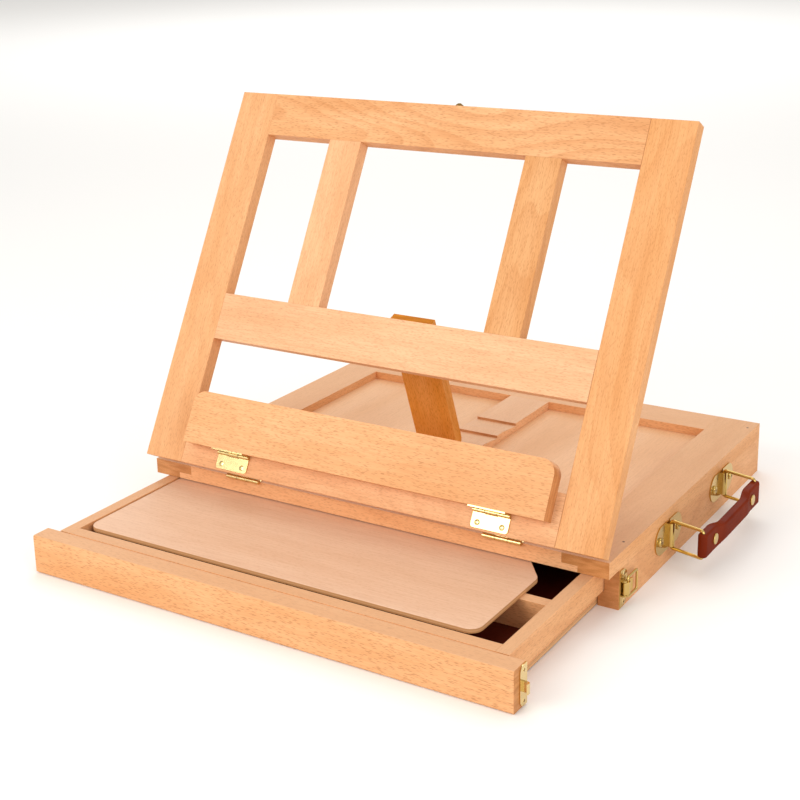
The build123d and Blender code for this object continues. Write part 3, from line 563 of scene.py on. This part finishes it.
boards = {
    # name: grain, darker, dashes, rings, warmth; darker and warmth hold painted light and shade as well as
    # each board's own tone
    "deck_left_rail": (DEEP, 0.02, 1.0, 0.10, 1.0),
    "deck_right_rail": (DEEP, 0.06, 1.0, 0.15, 1.02),
    # Lighter than its neighbours: painted light on the front rail, which sits in shade under the lid
    "deck_front_rail": (ACROSS, -0.05, 1.0, 0.15, 0.97),
    "deck_back_rail": (ACROSS, 0.02, 1.0, 0.10, 1.0),
    "ratchet_rail": (DEEP, 0.0, 1.0, 0.05, 0.95),
    "left_wall": (DEEP, 0.04, 1.0, 0.20, 1.0),
    "right_wall": (DEEP, 0.06, 1.0, 0.25, 1.0),
    "back_wall": (ACROSS, 0.05, 1.0, 0.25, 1.0),
    "drawer_front": (ACROSS, 0.03, 1.25, 0.10, 1.0),
    "drawer_inner_front": (ACROSS, 0.05, 1.0, 0.10, 1.0),
    "drawer_left_side": (DEEP, 0.03, 1.0, 0.15, 1.0),
    "drawer_right_side": (DEEP, 0.06, 1.0, 0.15, 1.0),
    "drawer_back": (ACROSS, 0.05, 1.0, 0.20, 1.0),
    "drawer_front_divider": (ACROSS, 0.0, 1.0, 0.10, 1.0),
    "drawer_rear_divider": (ACROSS, 0.04, 1.0, 0.15, 1.0),
    "panel_left_stile": (LID_UP, 0.05, 0.9, 0.14, 1.0),
    "panel_right_stile": (LID_UP, 0.06, 0.8, 0.20, 1.04),
    "panel_top_rail": (LID_ACROSS, 0.05, 1.1, 0.34, 1.0),
    "panel_middle_rail": (LID_ACROSS, 0.0, 0.9, 0.10, 0.92),
    "panel_bottom_rail": (LID_ACROSS, 0.0, 0.9, 0.20, 0.95),
    "panel_left_muntin": (LID_UP, 0.0, 0.9, 0.12, 0.95),
    # Darker than its neighbours: painted shade, where the light falls off towards the upper right
    "panel_right_muntin": (LID_UP, 0.13, 0.9, 0.22, 1.05),
    "ledge_bar": (LID_ACROSS, 0.02, 1.1, 0.08, 1.0),
    # Warmer and darker: painted shade for the leg under the leaning lid
    "prop_leg": (PROP_DOWN, 0.05, 1.0, 0.25, 1.2),
}
print("Boards in the table:", len(boards))

# %% [markdown]
# ## Softened edges
#
# A board with perfectly sharp edges looks like a drawing. Real boards are sanded, and the tiny round
# on each edge catches a line of light. The CAD shapes stay as they are and a modifier rounds them.
#
# A CAD mesh is made of loose triangles, and a bevel would stop at every one of their sides. So the
# triangles are joined first, then merged into whole flat faces, and only the true edges are left
# for the bevel.

# %% Softening
EDGE_ROUND_MM = 0.18
ROUND_STEPS = 2
SAME_PLACE_MM = 0.01
# Triangles within the first angle lie in one face, and faces meet in a sharp edge from the second on
FLAT_DEGREES, SHARP_DEGREES = 1, 40


def soften(piece):
    """Rounds the sharp edges by a fraction of a millimetre, so that they catch the light"""
    weld = piece.modifiers.new("Join the triangles", "WELD")
    weld.merge_threshold = SAME_PLACE_MM * MM
    flat = piece.modifiers.new("Whole flat faces", "DECIMATE")
    flat.decimate_type = "DISSOLVE"
    flat.angle_limit = math.radians(FLAT_DEGREES)
    bevel = piece.modifiers.new("Softened edges", "BEVEL")
    bevel.width = EDGE_ROUND_MM * MM
    bevel.segments = ROUND_STEPS
    bevel.limit_method = "ANGLE"
    bevel.angle_limit = math.radians(SHARP_DEGREES)
    bevel.use_clamp_overlap = True
    bevel.harden_normals = True


print("Edges get a round of", EDGE_ROUND_MM, "mm")

# %% [markdown]
# ## Dressing the pieces
#
# Every board gets a beech of its own, made from its line in the table. From one board to the next
# the wood moves on by the same three steps, so the table needs no shift of its own.

# %% Dressing the boards
# Metres along, across and through the grain
SHIFT_STEPS = (0.37, 0.11, 0.23)


def paint(node, material):
    """Gives a CAD piece one material in place of its plain one"""
    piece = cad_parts[node]
    piece.data.materials.clear()
    piece.data.materials.append(material)
    return piece


for index, (node, (grain, tone, fleck, figure, warmth)) in enumerate(boards.items()):
    label = node.replace("_", " ")
    shift = tuple(step * index for step in SHIFT_STEPS)
    wood = beech(f"Lacquered beech, {label}", grain, shift, tone, fleck, figure, warmth)
    soften(paint(node, wood))
print(len(boards), "boards, each with its own beech")

# %% [markdown]
# The sheets and the grip keep their CAD edges. Everything that is left in the frame is brass, so it
# needs no table: a name that starts with the handle or the latch gets the deeper brass.

# %% Dressing the rest
one_of_a_kind = {
    "deck_left_floor": floor_ply,
    "deck_right_floor": floor_ply,
    "drawer_bottom": bottom_ply,
    "palette": palette_ply,
    "handle_grip": grip_plastic,
    "lid_catch_stud": aged_brass,
    "deck_nails": nail_steel,
}
for node, material in one_of_a_kind.items():
    paint(node, material)

fittings = sorted(set(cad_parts) - set(boards) - set(one_of_a_kind))
for node in fittings:
    on_the_side = node.startswith(("handle_", "latch_"))
    paint(node, side_brass if on_the_side else brass)
print(len(one_of_a_kind), "sheets and single pieces, and", len(fittings), "fittings")

# %% [markdown]
# ## Floor
#
# The easel stands on a sheet of pale paper that runs far past the picture. A photographer would
# curve the paper up behind the easel. The camera looks down so far that it sees floor up to the top
# of the picture, so a single flat face is enough.

# %% Floor
FLOOR_HALF_WIDTH = 6.0
PAPER = {"Base Color": to_linear("F7F6F4"), "Roughness": 0.9}
shape = bmesh.new()
bmesh.ops.create_grid(shape, x_segments=1, y_segments=1, size=FLOOR_HALF_WIDTH)
mesh = bpy.data.meshes.new("Studio floor")
shape.to_mesh(mesh)
shape.free()
mesh.materials.append(new_material("Pale studio paper", PAPER)[0])
floor = bpy.data.objects.new("Studio floor", mesh)
bpy.context.scene.collection.objects.link(floor)
print("Floor:", 2 * FLOOR_HALF_WIDTH, "metres wide")

# %% [markdown]
# ## Light
#
# The photograph has hardly any shadows, as in a white tent. An even pale sky lights the easel from all
# sides, and on its own it would leave the boards flat. A large soft lamp at the front left shapes
# them, one at the right keeps that side open, and one overhead lifts the upper faces. The fourth
# lights the floor far behind the easel, which turns the background white.

# %% Sky and lamps
SKY_STRENGTH = 0.72
world = bpy.data.worlds.new("Studio sky")
bpy.context.scene.world = world
world.use_nodes = True
sky = world.node_tree.nodes["Background"]
sky.inputs["Color"].default_value = to_linear("FFFDFA")
sky.inputs["Strength"].default_value = SKY_STRENGTH

EASEL_MIDDLE = (0.0, -0.2, 0.08)
lamps = {
    # name: where it hangs, where it points, its width in metres, its power in watts, its colour
    "Key lamp": ((-0.5, -1.5, 0.8), EASEL_MIDDLE, 0.9, 11.6, "FFFAF4"),
    "Fill lamp": ((1.4, -0.8, 0.6), EASEL_MIDDLE, 1.0, 8.0, "FFFCFA"),
    "Top lamp": ((-0.1, 0.3, 1.5), EASEL_MIDDLE, 1.2, 6.0, "FFFFFF"),
    "Backdrop lamp": ((-1.7, 2.7, 1.6), (-1.7, 2.7, 0.0), 2.4, 26.0, "FFFFFF"),
}
for name, (at, towards, width, power, code) in lamps.items():
    light = bpy.data.lights.new(name, "AREA")
    light.shape = "SQUARE"
    light.size = width
    light.energy = power
    light.color = to_linear(code)[:3]
    holder = bpy.data.objects.new(name, light)
    holder.location = at
    holder.rotation_euler = (Vector(towards) - Vector(at)).to_track_quat("-Z", "Y").to_euler()
    bpy.context.scene.collection.objects.link(holder)
print("Lamps:", ", ".join(lamps))

# %% [markdown]
# ## Camera
#
# The camera was worked out from the photograph by lining up the corners of the boards: it stands
# 0.97 metres from a point near the middle of the easel, 32 degrees to the right of the front and 16
# degrees up, and it is rolled by a degree. The three directions of its view are built from those
# angles.

# %% Camera
AZIMUTH, ELEVATION, ROLL = math.radians(32.07), math.radians(16.44), math.radians(-1.18)
DISTANCE = 0.96904
LOOK_AT = Vector((-0.01458, -0.1875, 0.13374))
PICTURE_PIXELS = 800
FOCAL_PIXELS = 1466.58
SHIFT_PIXELS = (0.45, -72.87)
SENSOR_MM = 36.0

back = Vector(
    (
        math.sin(AZIMUTH) * math.cos(ELEVATION),
        -math.cos(AZIMUTH) * math.cos(ELEVATION),
        math.sin(ELEVATION),
    )
)
right = (-back).cross(Vector((0, 0, 1))).normalized()
up = right.cross(-back)
rolled_right = math.cos(ROLL) * right + math.sin(ROLL) * up
rolled_up = -math.sin(ROLL) * right + math.cos(ROLL) * up
view = Matrix((rolled_right, rolled_up, back)).transposed().to_4x4()
view.translation = LOOK_AT + DISTANCE * back

lens = bpy.data.cameras.new("Camera")
lens.sensor_width = SENSOR_MM
lens.lens = FOCAL_PIXELS / PICTURE_PIXELS * SENSOR_MM
lens.shift_x, lens.shift_y = (shift / PICTURE_PIXELS for shift in SHIFT_PIXELS)
camera = bpy.data.objects.new("Camera", lens)
camera.matrix_world = view
bpy.context.scene.collection.objects.link(camera)
bpy.context.scene.camera = camera
print("Camera at", [round(value, 3) for value in view.translation], "m, lens", round(lens.lens, 1), "mm")

# %% [markdown]
# ## Colour management
#
# The standard view shows a hex code as it was written. A film view would dull the warm wood.

# %% The last settings
bpy.context.scene.view_settings.view_transform = "Standard"
